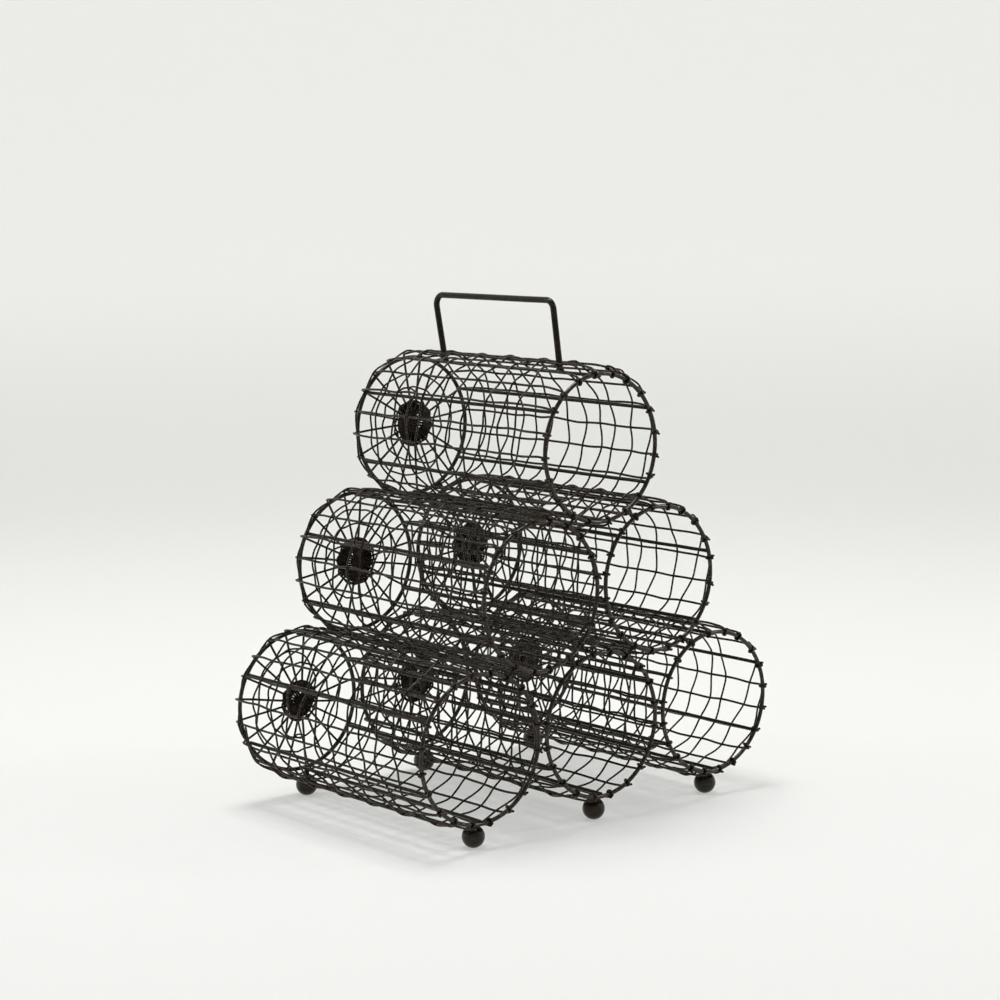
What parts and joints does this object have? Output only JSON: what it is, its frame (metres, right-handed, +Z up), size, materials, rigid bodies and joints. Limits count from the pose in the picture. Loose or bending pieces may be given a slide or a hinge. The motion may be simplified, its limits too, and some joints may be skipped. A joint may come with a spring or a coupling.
{
  "type": "wine bottle holder",
  "caption": "Pyramid of woven wire cages on ball feet with a carry handle; each open-mouthed cage holds a bottle lying on its side.",
  "frame": {"origin": "on the surface that the feet stand on, under the middle of the whole holder", "axes": "+Z up, +Y from the open mouths to the closed rear ends of the cages, +X to the right seen from the mouths"},
  "size_m": [0.337, 0.2186, 0.367],
  "materials": {
    "iron_rod": "satin",
    "iron_wire": "satin",
    "weld": "matte",
    "foot": "matte"
  },
  "bodies": {
    "root": {"bottom_left_front_ring": "iron_rod", "bottom_left_rear_frame": "iron_rod", "bottom_left_warp_wires": "iron_wire", "bottom_left_weft_wire": "iron_wire", "bottom_left_rear_web": "iron_wire", "bottom_centre_front_ring": "iron_rod", "bottom_centre_rear_frame": "iron_rod", "bottom_centre_warp_wires": "iron_wire", "bottom_centre_weft_wire": "iron_wire", "bottom_centre_rear_web": "iron_wire", "bottom_right_front_ring": "iron_rod", "bottom_right_rear_frame": "iron_rod", "bottom_right_warp_wires": "iron_wire", "bottom_right_weft_wire": "iron_wire", "bottom_right_rear_web": "iron_wire", "middle_left_front_ring": "iron_rod", "middle_left_rear_frame": "iron_rod", "middle_left_warp_wires": "iron_wire", "middle_left_weft_wire": "iron_wire", "middle_left_rear_web": "iron_wire", "middle_right_front_ring": "iron_rod", "middle_right_rear_frame": "iron_rod", "middle_right_warp_wires": "iron_wire", "middle_right_weft_wire": "iron_wire", "middle_right_rear_web": "iron_wire", "top_front_ring": "iron_rod", "top_rear_frame": "iron_rod", "top_warp_wires": "iron_wire", "top_weft_wire": "iron_wire", "top_rear_web": "iron_wire", "weld_front_bottom_left_to_bottom_centre": "weld", "weld_rear_bottom_left_to_bottom_centre": "weld", "weld_front_bottom_centre_to_bottom_right": "weld", "weld_rear_bottom_centre_to_bottom_right": "weld", "weld_front_middle_left_to_middle_right": "weld", "weld_rear_middle_left_to_middle_right": "weld", "weld_front_bottom_left_to_middle_left": "weld", "weld_rear_bottom_left_to_middle_left": "weld", "weld_front_bottom_centre_to_middle_left": "weld", "weld_rear_bottom_centre_to_middle_left": "weld", "weld_front_bottom_centre_to_middle_right": "weld", "weld_rear_bottom_centre_to_middle_right": "weld", "weld_front_bottom_right_to_middle_right": "weld", "weld_rear_bottom_right_to_middle_right": "weld", "weld_front_middle_left_to_top": "weld", "weld_rear_middle_left_to_top": "weld", "weld_front_middle_right_to_top": "weld", "weld_rear_middle_right_to_top": "weld", "foot_front_bottom_left": "foot", "foot_rear_bottom_left": "foot", "foot_front_bottom_centre": "foot", "foot_rear_bottom_centre": "foot", "foot_front_bottom_right": "foot", "foot_rear_bottom_right": "foot", "handle": "iron_rod"}
  },
  "joints": []
}
